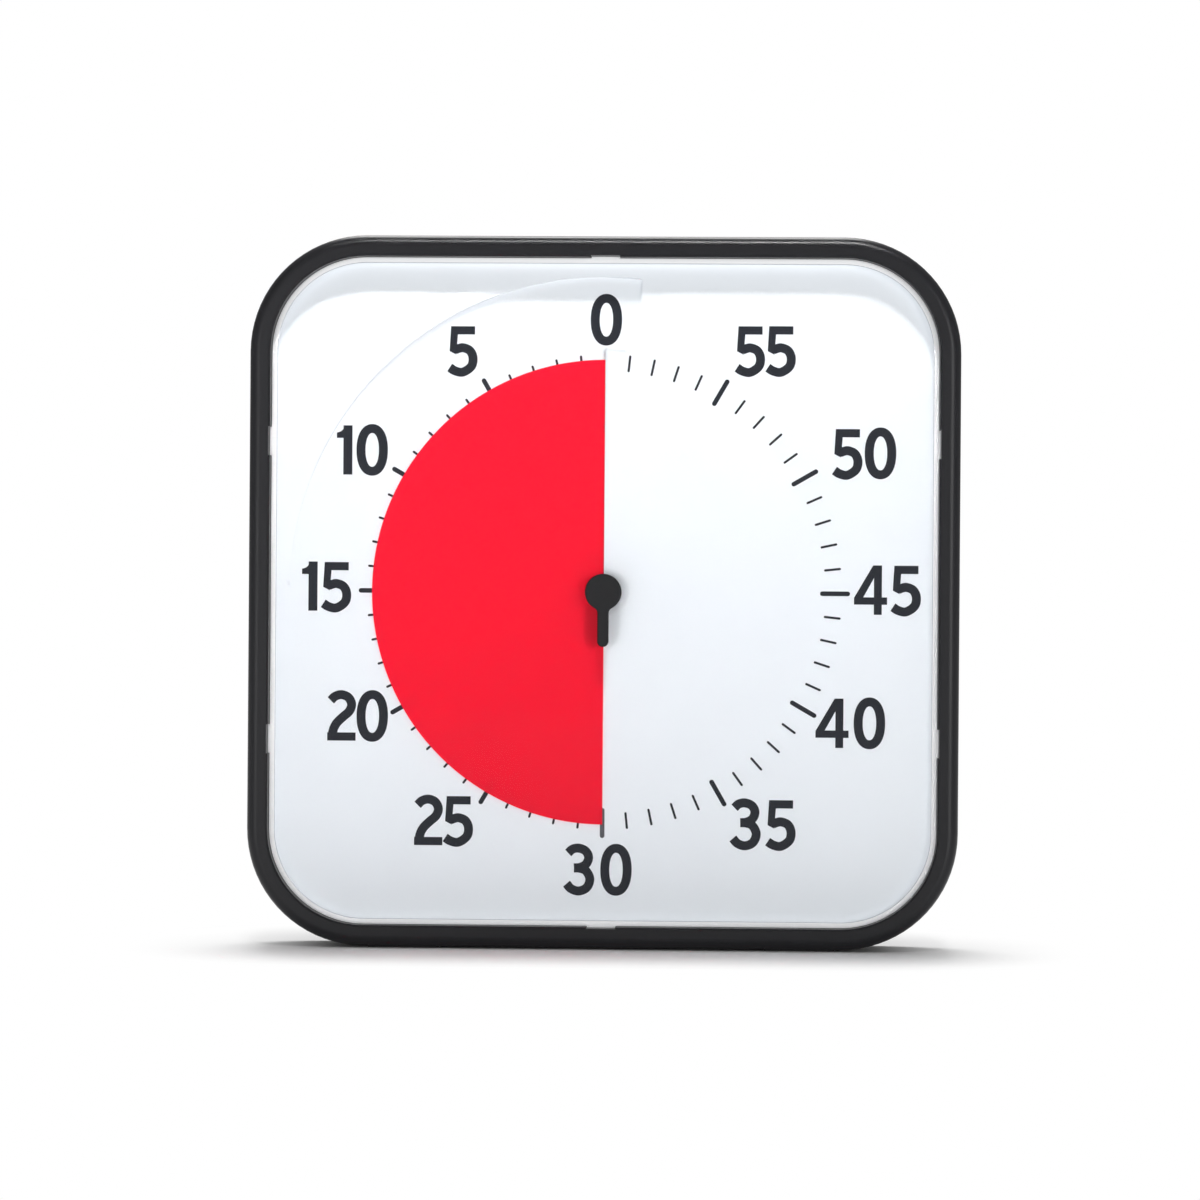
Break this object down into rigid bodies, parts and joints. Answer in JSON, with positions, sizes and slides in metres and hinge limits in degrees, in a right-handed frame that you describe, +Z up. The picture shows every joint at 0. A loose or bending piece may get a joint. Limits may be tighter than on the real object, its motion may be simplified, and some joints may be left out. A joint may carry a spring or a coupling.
{
  "type": "visual countdown timer",
  "caption": "Square countdown timer with round corners, a white spiral dial, a red disc that winds out of a slit, a centre knob and a clear window.",
  "frame": {"origin": "centre of the underside, halfway between the front and the back", "axes": "+Z up, +X to the right seen from the front, the dial faces -Y"},
  "size_m": [0.305, 0.044, 0.3056],
  "materials": {
    "frame_black": "fine matt moulded plastic",
    "housing_black": "fine sparked moulded plastic",
    "clear_window": "clear polished plastic",
    "dial_white": "smooth satin white plastic",
    "disc_red": "satin red film",
    "knob_black": "satin moulded plastic",
    "hub_white": "natural acetal",
    "steel": "ground steel",
    "movement_black": "moulded plastic",
    "gear_white": "natural acetal",
    "magnet": "sintered ferrite",
    "copper": "enamelled copper wire",
    "board_green": "solder mask",
    "chip_black": "epoxy",
    "brass": "sheet brass",
    "nickel": "nickel plate",
    "cell_wrap": "plain shrink sleeve",
    "rubber": "soft rubber",
    "wire_red": "pvc sleeve",
    "wire_black": "pvc sleeve"
  },
  "bodies": {
    "housing": {"aa_battery": "cell_wrap", "battery_lead_black": "wire_black", "battery_lead_red": "wire_red", "battery_plate": "nickel", "battery_spring": "nickel", "buzzer_case": "chip_black", "buzzer_lead_black": "wire_black", "buzzer_lead_red": "wire_red", "case_screws": "steel", "circuit_board": "board_green", "clear_lens": "clear_window", "coil_bobbin": "hub_white", "coil_core": "steel", "coil_winding": "copper", "contact_leaf": "brass", "dial_plate": "dial_white", "feet": "rubber", "front_bezel": "frame_black", "movement_back": "movement_black", "movement_front": "movement_black", "movement_screws": "steel", "piezo_disc": "brass", "quartz_crystal": "nickel", "rear_housing": "housing_black", "stator": "steel", "switch_body": "chip_black", "timer_chip": "chip_black"},
    "shaft": {"knob": "knob_black", "arbor": "steel", "centre_wheel": "gear_white", "clutch_spring": "brass", "alarm_cam": "gear_white"},
    "disc": {"red_disc": "disc_red", "disc_hub": "hub_white"},
    "third_gear": {"third_wheel": "gear_white"},
    "fourth_gear": {"fourth_wheel": "gear_white"},
    "motor_rotor": {"rotor": "magnet"},
    "sound_slider": {"switch_slider": "knob_black"},
    "door": {"battery_door": "housing_black"}
  },
  "joints": [
    {"name": "knob_turn", "type": "hinge", "parent": "housing", "child": "shaft", "pos_m": [0, 0, 0.1531], "axis": [0, 1, 0], "range_deg": [-180, 180]},
    {"name": "disc_feed", "type": "slide", "parent": "shaft", "child": "disc", "axis": [0, 1, 0], "range_m": [-0.00121, 0.00121]},
    {"name": "third_wheel_spin", "type": "hinge", "parent": "housing", "child": "third_gear", "pos_m": [-0.00962, 0, 0.16272], "axis": [0, 1, 0], "range_deg": [-1351, 1351]},
    {"name": "fourth_wheel_spin", "type": "hinge", "parent": "housing", "child": "fourth_gear", "pos_m": [-0.01345, 0, 0.15219], "axis": [0, 1, 0], "range_deg": [-8101, 8101]},
    {"name": "rotor_spin", "type": "hinge", "parent": "housing", "child": "motor_rotor", "pos_m": [-0.00934, 0, 0.14092], "axis": [0, 1, 0], "range_deg": [-32401, 32401]},
    {"name": "sound_slide", "type": "slide", "parent": "housing", "child": "sound_slider", "axis": [1, 0, 0], "range_m": [0, 0.0036]},
    {"name": "door_slide", "type": "slide", "parent": "housing", "child": "door", "axis": [0, 1, 0], "range_m": [0, 0.012]}
  ],
  "couplings": [
    {"joint": "disc_feed", "follows": "knob_turn", "m_per_rad": 0.00038197},
    {"joint": "third_wheel_spin", "follows": "knob_turn", "ratio": -7.5},
    {"joint": "fourth_wheel_spin", "follows": "knob_turn", "ratio": 45},
    {"joint": "rotor_spin", "follows": "knob_turn", "ratio": -180}
  ]
}
